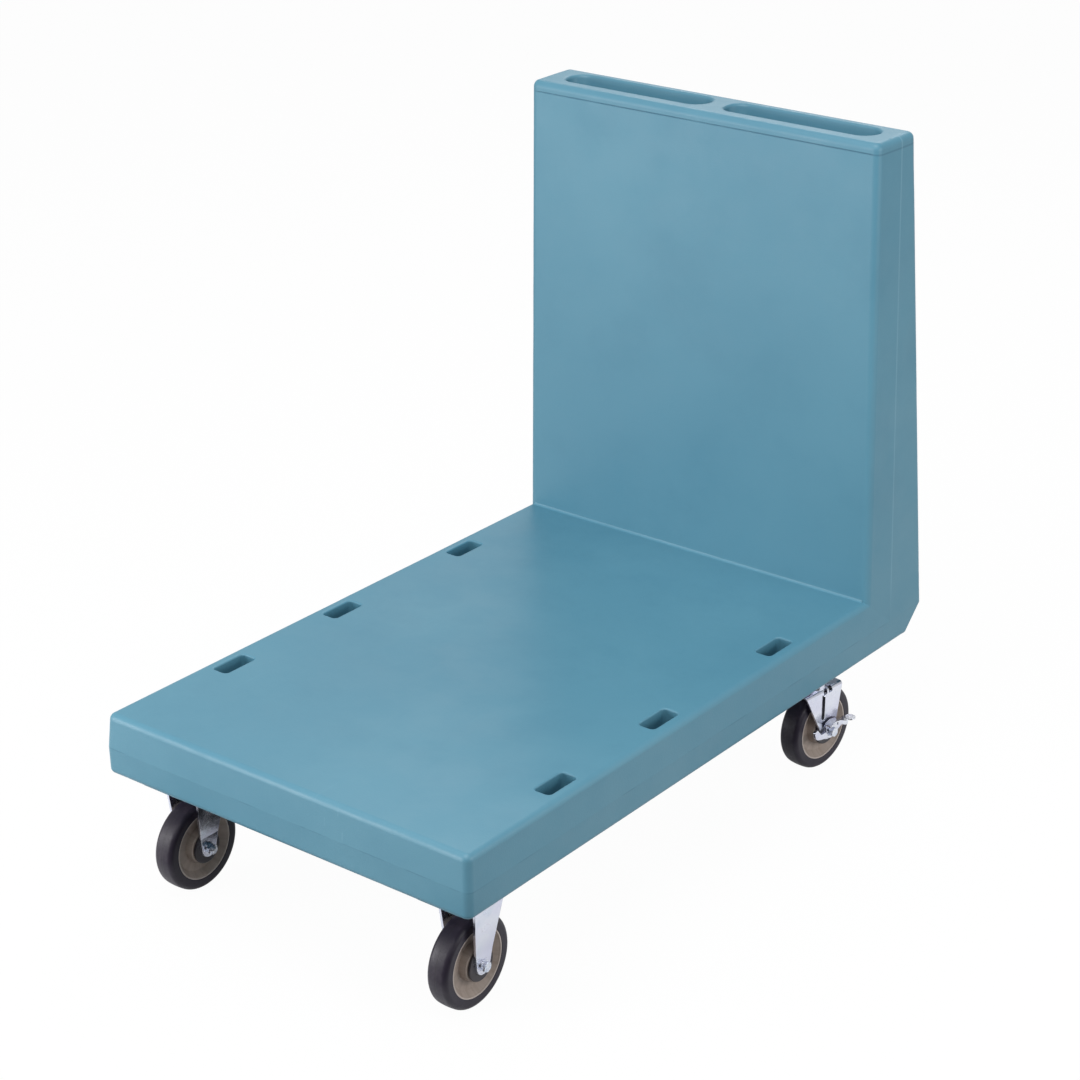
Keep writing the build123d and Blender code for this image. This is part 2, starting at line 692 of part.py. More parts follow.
def swivel_fork():
    """Turning caster fork: one channel with tapered legs, a ball race on its crown and ribbed sides."""
    top = from_axle(CROWN_TOP_Z)
    side = leg_outline(SWIVEL_LEG_END_RADIUS, (SWIVEL_LEG_FRONT_TOP_Y, top), (SWIVEL_LEG_REAR_TOP_Y, top))
    fork = swept_across(side) & channel()
    fork -= Pos(0, -SWIVEL_LEAD, top) * Cylinder(RACE_OUTER_RADIUS - 2, 40)
    for side_sign in SIDES.values():
        for y in NOTCH_YS:
            fork -= Pos(side_sign * (NOTCH_INNER_X + 20), y, NOTCH_LOW_Z + 20) * Box(40, NOTCH_WIDTH, 40)
    rib = leg_rib()
    fork += rib
    fork += mirror(rib, Plane.YZ)
    dome = Pos(0, -SWIVEL_LEAD, 0) * turned(dome_profile(), Axis.Z)
    groove = Pos(0, -SWIVEL_LEAD, 0) * ball_groove()
    return fork + dome - groove - axle_hole()


def leg_rib():
    """Pressed stiffening rib up the middle of a leg, with round ends."""
    height = RIB_HIGH_Z - RIB_LOW_Z
    centre_x = FORK_OUTER_HALF + RIB_PROUD - RIB_RADIUS
    rod = Pos(0, 0, height / 2) * Cylinder(RIB_RADIUS, height)
    bead = rod + Sphere(RIB_RADIUS) + Pos(0, 0, height) * Sphere(RIB_RADIUS)
    outside = Box(20, 60, 200, align=(Align.MIN, Align.CENTER, Align.CENTER))
    return Pos(centre_x, RIB_Y, RIB_LOW_Z) * bead & Pos(FORK_OUTER_HALF - 1, RIB_Y, 0) * outside


def swivel_top_plate():
    """Fixed plate over the fork, with the upper ball race hanging from it."""
    plate = caster_plate(-SWIVEL_LEAD)
    height = PLATE_BOTTOM_Z - RACE_SPLIT_HIGH_Z
    ring = tube(RACE_OUTER_RADIUS - 1, RACE_INNER_RADIUS + 1, height)
    ring = Pos(0, -SWIVEL_LEAD, from_axle(RACE_SPLIT_HIGH_Z)) * ring
    bore = Pos(0, -SWIVEL_LEAD, from_axle(PLATE_BOTTOM_Z)) * Cylinder(KINGPIN_RADIUS, 20)
    return plate + ring - Pos(0, -SWIVEL_LEAD, 0) * ball_groove() - bore


def kingpin():
    """Pin that holds the fork up, with the flange that carries the lower balls."""
    low = from_axle(KINGPIN_FLANGE_BOTTOM_Z)
    seat = from_axle(KINGPIN_FLANGE_TOP_Z)
    lip = seat + 1.5
    points = [
        (0, low),
        (KINGPIN_FLANGE_RADIUS - 1, low),
        (KINGPIN_FLANGE_RADIUS, low + 1),
        (KINGPIN_FLANGE_RADIUS, lip),
        (KINGPIN_FLANGE_RADIUS - 1.5, lip),
        (KINGPIN_FLANGE_RADIUS - 1.5, seat),
        (KINGPIN_RADIUS, seat),
        (KINGPIN_RADIUS, from_axle(PLATE_TOP_Z)),
        (0, from_axle(PLATE_TOP_Z)),
    ]
    return Pos(0, -SWIVEL_LEAD, 0) * turned(points, Axis.Z)


def main_balls():
    """Main ball ring between the top plate and the fork."""
    balls = ring_of(Sphere(RACE_BALL_RADIUS), RACE_PITCH_RADIUS, RACE_BALL_COUNT)
    return group(Pos(0, -SWIVEL_LEAD, ball_height()) * ball for ball in balls)


def lower_balls():
    """Lower ball ring between the fork's dish and the kingpin's flange."""
    height = from_axle((DISH_BOTTOM_Z + KINGPIN_FLANGE_TOP_Z) / 2)
    balls = ring_of(Sphere(LOWER_BALL_RADIUS), LOWER_BALL_PITCH_RADIUS, LOWER_BALL_COUNT)
    return group(Pos(0, -SWIVEL_LEAD, height) * ball for ball in balls)


# ---------------------------------------------------------------- brake

def brake_cam():
    """Fixed cam ring on the outer leg, with ramps that push the lever's hub outwards."""
    base = BRAKE_CAM_THICKNESS - BRAKE_RAMP_HEIGHT
    ring = tube(BRAKE_CAM_RADIUS, BOLT_HOLE_RADIUS, base)
    sector = 360.0 / BRAKE_RAMP_COUNT / 2
    for index in range(BRAKE_RAMP_COUNT):
        ramp = Pos(0, 0, base) * tube(BRAKE_CAM_RADIUS, BRAKE_CAM_RADIUS - 5, BRAKE_RAMP_HEIGHT)
        wedge = Box(30, 30, 30, align=(Align.MIN, Align.MIN, Align.CENTER))
        corner = wedge & Rot(0, 0, sector - 90) * wedge
        ring += ramp & Rot(0, 0, 2 * sector * index) * corner
    return across(ring, FORK_OUTER_HALF)


def lever_strip(depth):
    """Outline in the wheel's plane of the lever's top edge, with a given depth below it."""
    below = [(y, z - depth) for y, z in reversed(LEVER_TOP)]
    bends = [0] + [LEVER_BEND_RADIUS] * (len(LEVER_TOP) - 2) + [0]
    outline = FilletPolyline(*LEVER_TOP, *below, radius=bends + bends, close=True)
    return make_face(Plane.YZ * outline)


def outwards(face, thickness):
    """Plate of a given thickness from an outline in the wheel's plane."""
    return extrude(face, thickness, dir=(1, 0, 0))


def lever_web():
    """Flat rocker plate that turns on the axle, with a horn at the front, thicker clear of the axle."""
    hub = Plane.YZ * Circle(LEVER_HUB_RADIUS)
    arm_points = [(y, z - LEVER_THICKNESS / 2) for y, z in LEVER_TOP] + [(30, 4), (8, -7), (-9, -4)]
    arm = make_face(Plane.YZ * Polyline(*arm_points, close=True))
    horn = make_face(Plane.YZ * FilletPolyline(*HORN_OUTLINE, radius=HORN_RADII, close=True))
    web = outwards(hub, LEVER_THICKNESS) + outwards(arm, LEVER_THICKNESS) + outwards(horn, LEVER_THICKNESS)
    clear = Pos(0, HORN_THICK_END_Y, 0) * Box(60, 60, 80, align=(Align.CENTER, Align.MAX, Align.CENTER))
    return web + (outwards(horn, HORN_THICKNESS) & clear)


def lever_lip():
    """Edge of the top flange, turned down along the rear arm."""
    start_x = LEVER_FLANGE_REACH - LEVER_THICKNESS
    lip = Pos(start_x, 0, 0) * outwards(lever_strip(LEVER_LIP_DEPTH), LEVER_THICKNESS)
    length = LEVER_LIP_END_Y - LEVER_LIP_START_Y
    keep = Box(60, length, 60, align=(Align.CENTER, Align.MIN, Align.CENTER))
    return lip & Pos(0, LEVER_LIP_START_Y, 0) * keep


def toe_plate():
    """Round plate to tread on, at the rear end of the top flange."""
    height = LEVER_TOP[-1][1]
    centre_x = LEVER_FLANGE_REACH + TOE_OVERHANG - TOE_RADIUS
    disc = Pos(centre_x, TOE_CENTRE_Y, height - LEVER_THICKNESS) * Circle(TOE_RADIUS)
    return extrude(disc, LEVER_THICKNESS)


def brake_lever():
    """Foot lever of the side brake: a rocker with a top flange, a toe plate and a horn."""
    start = FORK_OUTER_HALF + BRAKE_CAM_THICKNESS + BRAKE_GAP
    flange = outwards(lever_strip(LEVER_THICKNESS), LEVER_FLANGE_REACH)
    body = lever_web() + flange + lever_lip() + toe_plate()
    return Pos(start, 0, 0) * body - axle_hole()


# ---------------------------------------------------------------- assembly

def front_place(side):
    """Where a rigid caster's axle sits on the cart."""
    return Pos(side * CASTER_X, FRONT_AXLE_Y, WHEEL_RADIUS)


def swivel_place(side, turn=0.0):
    """Where a swivel caster's axle sits on the cart, turned about its kingpin."""
    kingpin_place = Pos(side * CASTER_X, REAR_SWIVEL_Y, WHEEL_RADIUS)
    return kingpin_place * Rot(0, 0, turn) * Pos(0, SWIVEL_LEAD, 0)


def handed(shape, side):
    """A right-hand caster part, or its mirror image for the left."""
    return shape if side > 0 else mirror(shape, Plane.YZ)


def wheel_parts():
    """Pieces of one wheel, the same for all four."""
    return {
        "wheel_core": wheel_core(),
        "tread": tread(),
        "bearing_rollers": bearing_rollers(),
        "bearing_cage": bearing_cage(),
        "axle_sleeve": axle_sleeve(),
        "thread_guards": thread_guards(),
        "axle_nut": axle_nut(),
    }


def front_parts():
    """Pieces of a rigid caster besides its wheel."""
    head_x = FORK_OUTER_HALF + WASHER_THICKNESS
    return {
        "rigid_fork": rigid_fork(),
        "axle_bolt": axle_bolt(head_x),
        "axle_washers": axle_washers(head_x),
    }


def swivel_fixed_parts():
    """Pieces of a swivel caster that stay with the cart."""
    return {
        "swivel_top_plate": swivel_top_plate(),
        "kingpin": kingpin(),
        "swivel_balls": main_balls(),
        "kingpin_balls": lower_balls(),
    }


def swivel_turning_parts():
    """Pieces of a swivel caster that turn with its fork, besides the wheel."""
    lever_outer = FORK_OUTER_HALF + BRAKE_CAM_THICKNESS + BRAKE_GAP + LEVER_THICKNESS
    head_x = lever_outer + BRAKE_GAP + WASHER_THICKNESS
    return {
        "swivel_fork": swivel_fork(),
        "brake_cam": brake_cam(),
        "brake_lever": brake_lever(),
        "axle_bolt": axle_bolt(head_x),
        "axle_washers": axle_washers(head_x),
    }


def save(name, shape):
    """Write one named part."""
    export_step(shape, f"parts/{name}.step")


def save_caster(corner, parts, place, side):
    """Write a caster's pieces where they sit on the cart."""
    for name, shape in parts.items():
        save(f"{corner}_{name}", place * handed(shape, side))


def main():
    os.makedirs("parts", exist_ok=True)
    save("platform_moulding", platform_moulding())
    save("threaded_inserts", threaded_inserts())
    save("mounting_bolts", mounting_bolts())
    save("spring_washers", spring_washers())
    wheel = wheel_parts()
    front = {**wheel, **front_parts()}
    rear_fixed = swivel_fixed_parts()
    rear_turning = {**wheel, **swivel_turning_parts()}
    for name, side in SIDES.items():
        save_caster(f"front_{name}", front, front_place(side), side)
        save_caster(f"rear_{name}", rear_fixed, swivel_place(side), side)
        save_caster(f"rear_{name}", rear_turning, swivel_place(side, REST_SWIVEL_DEG), side)


main()
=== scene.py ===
import json
import math

import bpy
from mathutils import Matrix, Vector


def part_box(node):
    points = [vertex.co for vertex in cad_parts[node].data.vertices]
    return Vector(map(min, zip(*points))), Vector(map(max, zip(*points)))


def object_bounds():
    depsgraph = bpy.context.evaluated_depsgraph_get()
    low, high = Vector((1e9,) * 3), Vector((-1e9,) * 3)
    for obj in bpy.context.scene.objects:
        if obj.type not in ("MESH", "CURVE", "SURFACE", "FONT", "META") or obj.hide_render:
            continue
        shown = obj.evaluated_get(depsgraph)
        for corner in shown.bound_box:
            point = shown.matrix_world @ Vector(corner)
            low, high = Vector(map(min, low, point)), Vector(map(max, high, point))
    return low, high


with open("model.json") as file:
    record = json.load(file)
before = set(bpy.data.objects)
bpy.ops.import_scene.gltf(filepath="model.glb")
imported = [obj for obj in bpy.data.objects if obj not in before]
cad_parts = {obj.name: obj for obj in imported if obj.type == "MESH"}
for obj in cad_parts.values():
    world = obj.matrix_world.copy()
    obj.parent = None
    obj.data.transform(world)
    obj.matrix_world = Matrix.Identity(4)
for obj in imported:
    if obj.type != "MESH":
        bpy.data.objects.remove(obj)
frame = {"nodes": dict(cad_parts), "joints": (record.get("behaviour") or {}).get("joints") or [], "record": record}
cad_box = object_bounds()

# ---------------------------------------------------------------- driving values
# Lengths are in metres in the CAD frame, angles in degrees and colours linear.
# An azimuth of 0 faces the deck's open end and grows towards the cart's right.

CAMERA_AZIMUTH = 37.77
CAMERA_ELEVATION = 23.53
CAMERA_DISTANCE = 3.576
CAMERA_AIM_OFFSET = Vector((0.015, -0.012, -0.044))
CAMERA_LENS_MM = 88.85
CAMERA_SENSOR_MM = 36.0
CAMERA_CLIP = (0.05, 200.0)

# The floor, and how far it is whitened for the camera and for mirror rays
FLOOR_RADIUS = 60.0
FLOOR_SIDES = 64
FLOOR_DROP = 0.0002
FLOOR_FADE_START = 3.0
FLOOR_FADE_END = 9.0
FLOOR_GREY = 0.86
FLOOR_GREY_DRIFT = 0.02
FLOOR_BOUNCE_GREY = 0.22
FLOOR_WHITENING = 0.97
FLOOR_MIRROR_WHITENING = 0.25

# The sky as it lights the scene, and its brightness in mirrors
DOME_COLOUR = (0.93, 0.96, 1.0)
DOME_STRENGTH = 0.38
MIRRORED_STRENGTH = 0.60

# Softboxes: place and aim from the middle of the CAD box, lowered to the aim height for the low ones
LOW_AIM_HEIGHT = 0.25
LOW_SOFTBOXES = {
    "left": {"place": (-1.5, -2.4, 0.55), "aim": (0.0, 0.0, 0.0), "size": (1.7, 1.3), "watts": 45.0},
    "right": {"place": (2.0, 0.3, 0.7), "aim": (0.0, 0.2, 0.0), "size": (1.3, 0.8), "watts": 15.0},
}
HIGH_SOFTBOXES = {
    "top": {"place": (0.3, -1.2, 2.5), "aim": (0.0, -0.3, -0.215), "size": (2.2, 2.2), "watts": 61.0},
    "back": {"place": (-1.0, 2.6, 2.2), "aim": (0.0, 0.0, 0.0), "size": (2.0, 1.0), "watts": 30.0},
}

# Curved black flags that put dark edges on the casters' bright metal, from one azimuth to another
FLAG_RADIUS = 0.15
FLAG_HEIGHT = 0.14
FLAG_STEPS = 16
FLAG_TURNS = {"front_right": (-20.0, 96.0), "front_left": (-20.0, 142.0), "rear_right": (-20.0, 96.0)}
FLAG_BLACK = (0.012, 0.012, 0.014)
FLAG_HIDDEN_FROM = ("camera", "diffuse", "transmission", "volume_scatter", "shadow")

# Marks of the mould, as shares of the moulding's height from its caster pads up
PARTING_SHARE = 0.0730
WITNESS_SHARE = 0.9798
RIDGE_FADE_SHARE = 0.10

# Vertical ridge of the upright's sides, as shares of the moulding's length from its front
RIDGE_LOW_SHARE = 0.9149
RIDGE_TOP_SHARE = 0.8975

# Where the side faces begin, as shares of the moulding's width from its middle
SIDE_FACE_SHARES = (0.46, 0.47)

# Scuffs are full at the first share of the moulding's height and gone at the second
SCUFF_SHARES = (0.10, 0.35)

# Radii where the wheels' looks change
TREAD_SHOULDER_RADIUS = 0.0595
TREAD_CROWN_RADIUS = 0.0632
WHEEL_LIP_INNER_RADIUS = 0.0452
WHEEL_LIP_OUTER_RADIUS = 0.0466

BODY_BLUE = (0.080, 0.236, 0.326)
BODY_BLUE_PALE = (0.096, 0.262, 0.352)
BODY_BLUE_DEEP = (0.057, 0.194, 0.279)
# painted shade: the colour of the dark lines drawn at the parting step and the witness groove
BODY_BLUE_SEAM_SHADE = (0.030, 0.118, 0.182)
BODY_BLUE_WORN = (0.22, 0.40, 0.50)
# partly pale mould flash, partly a painted highlight along the upright's side ridge
BODY_BLUE_RIDGE_FLASH_AND_HIGHLIGHT = (0.24, 0.42, 0.52)
BODY_BLUE_SCUFF = (0.20, 0.38, 0.48)
TREAD_GREY = (0.023, 0.018, 0.031)
TREAD_DUST = (0.060, 0.050, 0.066)
TREAD_SEAM = (0.018, 0.017, 0.020)
WHEEL_TAUPE = (0.430, 0.355, 0.310)
WHEEL_TAUPE_DEEP = (0.350, 0.285, 0.240)
# the lip ring's paler tone with a painted highlight laid into it
WHEEL_LIP_PALE_AND_HIGHLIGHT = (0.620, 0.540, 0.490)
GUARD_SLATE = (0.028, 0.023, 0.030)
GUARD_WORN = (0.10, 0.09, 0.11)
GUARD_DUST = (0.09, 0.08, 0.08)
CAGE_NYLON = (0.52, 0.47, 0.36)
CAGE_GREASE = (0.25, 0.18, 0.09)
ZINC_LAVENDER = (0.68, 0.69, 0.82)
ZINC_PALE = (0.77, 0.79, 0.86)
ZINC_BLUE = (0.56, 0.63, 0.76)
SHEET_RUBBED = (0.88, 0.88, 0.90)
BRAKE_RUBBED = (0.93, 0.93, 0.94)
FASTENER_RUBBED = (0.90, 0.90, 0.91)
STEEL_GREY = (0.52, 0.52, 0.51)
STEEL_DARK = (0.32, 0.32, 0.33)
STEEL_FILM = (0.42, 0.36, 0.26)

nodes_of = frame["nodes"]
joints = {joint["name"]: joint for joint in frame["joints"]}
slot_of = {part["node"]: part["material_slot"] for part in frame["record"]["subparts"]}


# ---------------------------------------------------------------- shader helpers

class Shader:
    """A material's node tree, with short calls for the nodes that the finishes share."""

    def __init__(self, name):
        self.material = bpy.data.materials.new(name)
        self.material.use_nodes = True
        self.tree = self.material.node_tree
        self.surface = self.tree.nodes["Principled BSDF"]
        self.place = self.add("ShaderNodeTexCoord").outputs["Object"]

    def add(self, kind, **settings):
        made = self.tree.nodes.new(kind)
        for name, value in settings.items():
            setattr(made, name, value)
        return made

    def feed(self, socket, value):
        """Link an output to a socket, or set a plain value on it."""
        if isinstance(value, bpy.types.NodeSocket):
            self.tree.links.new(value, socket)
        elif isinstance(value, tuple) and socket.type == "RGBA":
            socket.default_value = (*value, 1.0)
        else:
            socket.default_value = value

    def centre_on(self, point, yaw):
        """Measure places from a point, with X along a level axis turned by yaw."""
        mapping = self.add("ShaderNodeMapping", vector_type="TEXTURE")
        self.feed(mapping.inputs["Vector"], self.place)
        mapping.inputs["Location"].default_value = point
        mapping.inputs["Rotation"].default_value = (0.0, 0.0, yaw)
        self.place = mapping.outputs["Vector"]

    def stretched(self, scale):
        """The place, scaled by its own amount along each axis."""
        mapping = self.add("ShaderNodeMapping")
        self.feed(mapping.inputs["Vector"], self.place)
        mapping.inputs["Scale"].default_value = scale
        return mapping.outputs["Vector"]

    def noise(self, scale, detail=3.0, roughness=0.5, place=None):
        made = self.add("ShaderNodeTexNoise")
        self.feed(made.inputs["Vector"], place or self.place)
        made.inputs["Scale"].default_value = scale
        made.inputs["Detail"].default_value = detail
        made.inputs["Roughness"].default_value = roughness
        return made.outputs["Fac"]

    def cells(self, scale):
        made = self.add("ShaderNodeTexVoronoi")
        self.feed(made.inputs["Vector"], self.place)
        made.inputs["Scale"].default_value = scale
        return made.outputs["Distance"]

    def maths(self, operation, first, second=0.0):
        made = self.add("ShaderNodeMath", operation=operation)
        self.feed(made.inputs[0], first)
        self.feed(made.inputs[1], second)
        return made.outputs[0]

    def times(self, first, second):
        return self.maths("MULTIPLY", first, second)

    def length(self, first, second):
        """Distance from zero of a point given by its two coordinates."""
        squares = self.maths("ADD", self.times(first, first), self.times(second, second))
        return self.maths("SQRT", squares)

    def waves(self, distance, rate):
        """Ripples along a distance, at a rate in radians a metre."""
        return self.maths("SINE", self.times(distance, rate))

    def remap(self, value, low, high, to_low=0.0, to_high=1.0, smooth=True):
        """Value taken from the range low to high into the range to_low to to_high, and held there."""
        kind = "SMOOTHSTEP" if smooth else "LINEAR"
        made = self.add("ShaderNodeMapRange", interpolation_type=kind)
        for name, number in (
            ("Value", value),
            ("From Min", low),
            ("From Max", high),
            ("To Min", to_low),
            ("To Max", to_high),
        ):
            self.feed(made.inputs[name], number)
        return made.outputs["Result"]

    def mix(self, share, first, second):
        """First colour where share is 0, second where it is 1."""
        made = self.add("ShaderNodeMix", data_type="RGBA")
        colours = [socket for socket in made.inputs if socket.type == "RGBA"]
        self.feed(made.inputs["Factor"], share)
        self.feed(colours[0], first)
        self.feed(colours[1], second)
        return next(socket for socket in made.outputs if socket.type == "RGBA")

    def stain(self, colour, other, mask, strength):
        """Colour with another laid over it where the mask is 1, at a given strength."""
        return self.mix(self.times(mask, strength), colour, other)

    def axes(self):
        made = self.add("ShaderNodeSeparateXYZ")
        self.feed(made.inputs["Vector"], self.place)
        return made.outputs["X"], made.outputs["Y"], made.outputs["Z"]

    def combined(self, first, second):
        """A place with the two given values as its X and Y."""
        made = self.add("ShaderNodeCombineXYZ")
        self.feed(made.inputs["X"], first)
        self.feed(made.inputs["Y"], second)
        return made.outputs["Vector"]

    def radius_about_x(self):
        _, y, z = self.axes()
        return self.length(y, z)

    def band(self, value, centre, half_width, blur):
        """1 where value is within half_width of centre, falling to 0 over blur."""
        away = self.maths("ABSOLUTE", self.maths("SUBTRACT", value, centre))
        return self.remap(away, half_width, half_width + blur, 1.0, 0.0)

    def soft_edges(self, radius):
        """Normal of the surface with its sharp edges rounded."""
        made = self.add("ShaderNodeBevel", samples=4)
        made.inputs["Radius"].default_value = radius
        return made.outputs["Normal"]

    def edge_mask(self, radius):
        """1 along sharp edges, 0 on flats."""
        normal = self.add("ShaderNodeNewGeometry").outputs["Normal"]
        dot = self.add("ShaderNodeVectorMath", operation="DOT_PRODUCT")
        self.feed(dot.inputs[0], self.soft_edges(radius))
        self.feed(dot.inputs[1], normal)
        return self.remap(dot.outputs["Value"], 0.80, 0.99, 1.0, 0.0)

    def bump(self, height, strength, distance, normal=None):
        made = self.add("ShaderNodeBump")
        made.inputs["Strength"].default_value = strength
        made.inputs["Distance"].default_value = distance
        self.feed(made.inputs["Height"], height)
        if normal is not None:
            self.feed(made.inputs["Normal"], normal)
        return made.outputs["Normal"]

    def finish(self, colour, roughness, normal, metallic=0.0):
        self.feed(self.surface.inputs["Base Color"], colour)
        self.feed(self.surface.inputs["Roughness"], roughness)
        self.feed(self.surface.inputs["Normal"], normal)
        self.surface.inputs["Metallic"].default_value = metallic
        return self.material


# ---------------------------------------------------------------- finishes

def moulded_body():
    """Matt rotomoulded polyethylene: cloudy colour, a fine orange-peel skin and light scuffs."""
    low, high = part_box("platform_moulding")
    shader = Shader("moulded_polyethylene")
    clouds = shader.remap(shader.noise(2.6, detail=2.0), 0.30, 0.70)
    colour = shader.mix(clouds, BODY_BLUE, BODY_BLUE_PALE)
    flow = shader.remap(shader.noise(9.0, detail=4.0, roughness=0.6), 0.42, 0.78, 0.0, 0.30)
    colour = shader.mix(flow, colour, BODY_BLUE_DEEP)
    grains = shader.remap(shader.noise(1900.0, detail=1.0), 0.35, 0.65, 0.0, 0.16)
    colour = shader.mix(grains, colour, BODY_BLUE_PALE)
    worn = shader.times(shader.edge_mask(0.0012), shader.remap(shader.noise(70.0), 0.40, 0.65))
    colour = shader.stain(colour, BODY_BLUE_WORN, worn, 0.30)
    painted_seam_shade, ridge_flash_and_painted_highlight = mould_lines(shader, low, high)
    # painted shade: the parting step and the witness groove are drawn as darker lines
    colour = shader.stain(colour, BODY_BLUE_SEAM_SHADE, painted_seam_shade, 0.60)
    # the ridge line: partly pale mould flash, partly a painted highlight
    colour = shader.stain(colour, BODY_BLUE_RIDGE_FLASH_AND_HIGHLIGHT, ridge_flash_and_painted_highlight, 0.35)
    scuffs = scuff_marks(shader, low, high)
    colour = shader.stain(colour, BODY_BLUE_SCUFF, scuffs, 0.22)
    gloss = shader.remap(shader.noise(14.0, detail=5.0, roughness=0.6), 0.30, 0.70, 0.40, 0.50)
    roughness = shader.maths("ADD", gloss, shader.times(scuffs, 0.12))
    peel = shader.noise(420.0, detail=2.0)
    skin = shader.bump(peel, 0.22, 0.0006, shader.soft_edges(0.0008))
    wander = shader.bump(shader.noise(7.0, detail=2.0), 0.18, 0.004, skin)
    return shader.finish(colour, roughness, wander)


def mould_lines(shader, low, high):
    """Masks of the painted shade along the broken parting and witness seams round the deck and the upright, and of
    each side's pale ridge line, which is partly mould flash and partly painted highlight.
    """
    x, y, z = shader.axes()
    width, length, height = high - low
    parting_z = low.z + PARTING_SHARE * height
    # The parting and witness bands paint the shade of the step and the groove there; nicks break the parting band.
    nicks = shader.remap(shader.noise(13.0, detail=4.0), 0.50, 0.62, 0.05, 0.60)
    parting = shader.times(shader.band(z, parting_z, 0.0004, 0.0007), nicks)
    fading = shader.remap(shader.noise(7.0, detail=2.0), 0.38, 0.60, 0.30, 0.80)
    witness = shader.band(z, low.z + WITNESS_SHARE * height, 0.0007, 0.0010)
    dark = shader.maths("MAXIMUM", parting, shader.times(witness, fading))
    ridge_low = low.y + RIDGE_LOW_SHARE * length
    ridge_top = low.y + RIDGE_TOP_SHARE * length
    ridge_y = shader.remap(z, parting_z, high.z, ridge_low, ridge_top, smooth=False)
    # pale band along the ridge: part mould flash, part painted highlight
    on_ridge = shader.band(shader.maths("SUBTRACT", y, ridge_y), 0.0, 0.0006, 0.0012)
    outward = shader.maths("ABSOLUTE", x)
    on_side = shader.remap(outward, *(share * width for share in SIDE_FACE_SHARES))
    above = shader.remap(z, parting_z, parting_z + RIDGE_FADE_SHARE * height)
    pale = shader.times(shader.times(on_ridge, on_side), above)
    return dark, pale


def scuff_marks(shader, low, high):
    """Mask of thin drag marks along the deck, fading out up the upright."""
    streaks = shader.noise(1.0, detail=2.0, place=shader.stretched((260.0, 9.0, 40.0)))
    patches = shader.remap(shader.noise(5.0), 0.52, 0.66)
    marks = shader.times(shader.remap(streaks, 0.67, 0.74), patches)
    _, _, z = shader.axes()
    full_z, gone_z = (low.z + share * (high.z - low.z) for share in SCUFF_SHARES)
    on_deck = shader.remap(z, gone_z, full_z)
    return shader.times(marks, on_deck)


def tread_rubber(shader):
    """Satin rubber with moulding rings on its sides, a centre line and a dusty running face."""
    radius = shader.radius_about_x()
    across, _, _ = shader.axes()
    dust = shader.remap(shader.noise(55.0, detail=5.0, roughness=0.65), 0.45, 0.75, 0.0, 0.55)
    running = shader.remap(radius, TREAD_SHOULDER_RADIUS, TREAD_CROWN_RADIUS)
    dust = shader.times(dust, shader.maths("ADD", 0.25, shader.times(running, 0.75)))
    colour = shader.mix(dust, TREAD_GREY, TREAD_DUST)
    seam = shader.band(across, 0.0, 0.0003, 0.0004)
    colour = shader.stain(colour, TREAD_SEAM, seam, 0.6)
    rings = shader.waves(radius, 7200.0)
    pits = shader.noise(1500.0, detail=2.0)
    height = shader.maths("ADD", shader.times(rings, 0.10), pits)
    height = shader.maths("SUBTRACT", height, seam)
    roughness = shader.remap(shader.noise(38.0, detail=4.0), 0.35, 0.70, 0.34, 0.46)
    shader.surface.inputs["Specular IOR Level"].default_value = 0.35
    return shader.finish(colour, roughness, shader.bump(height, 0.30, 0.0003))


def wheel_plastic(shader):
    """Moulded polypropylene with radial flow lines, a paler lip that is partly its own tone and partly painted
    highlight, and speckles.
    """
    radius = shader.radius_about_x()
    _, y, z = shader.axes()
    angle = shader.maths("ARCTAN2", z, y)
    spoke_place = shader.combined(shader.times(angle, 5.0), radius)
    spokes = shader.noise(1.0, roughness=0.6, place=spoke_place)
    colour = shader.mix(shader.remap(spokes, 0.35, 0.7), WHEEL_TAUPE, WHEEL_TAUPE_DEEP)
    lip = shader.remap(radius, WHEEL_LIP_INNER_RADIUS, WHEEL_LIP_OUTER_RADIUS)
    # the lip ring is paler in tone and also carries a painted highlight
    colour = shader.mix(lip, colour, WHEEL_LIP_PALE_AND_HIGHLIGHT)
    speckle = shader.remap(shader.noise(900.0, detail=2.0), 0.55, 0.75, 0.0, 0.35)
    colour = shader.mix(speckle, colour, WHEEL_TAUPE_DEEP)
    roughness = shader.remap(shader.noise(60.0, detail=4.0), 0.3, 0.7, 0.38, 0.52)
    skin = shader.bump(shader.noise(700.0, detail=2.0), 0.20, 0.0003, shader.soft_edges(0.0004))
    return shader.finish(colour, roughness, skin)


def guard_plastic(shader):
    """Dark moulded disc with turning marks, dust and a scuffed rim."""
    rings = shader.waves(shader.radius_about_x(), 5200.0)
    wear = shader.times(shader.edge_mask(0.0005), shader.remap(shader.noise(240.0), 0.4, 0.6))
    colour = shader.stain(GUARD_SLATE, GUARD_WORN, wear, 0.3)
    dust = shader.remap(shader.noise(180.0, detail=4.0), 0.5, 0.8, 0.0, 0.25)
    colour = shader.mix(dust, colour, GUARD_DUST)
    roughness = shader.remap(shader.noise(90.0), 0.3, 0.7, 0.34, 0.48)
    height = shader.maths("ADD", shader.times(rings, 0.3), shader.noise(800.0))
    return shader.finish(colour, roughness, shader.bump(height, 0.2, 0.0002))


def cage_plastic(shader):
    """Natural nylon with grease in its corners."""
    grease = shader.remap(shader.noise(160.0, detail=4.0), 0.45, 0.7, 0.0, 0.6)
    colour = shader.mix(grease, CAGE_NYLON, CAGE_GREASE)
    roughness = shader.remap(grease, 0.0, 0.6, 0.5, 0.25)
    return shader.finish(colour, roughness, shader.bump(shader.noise(900.0), 0.2, 0.0002))


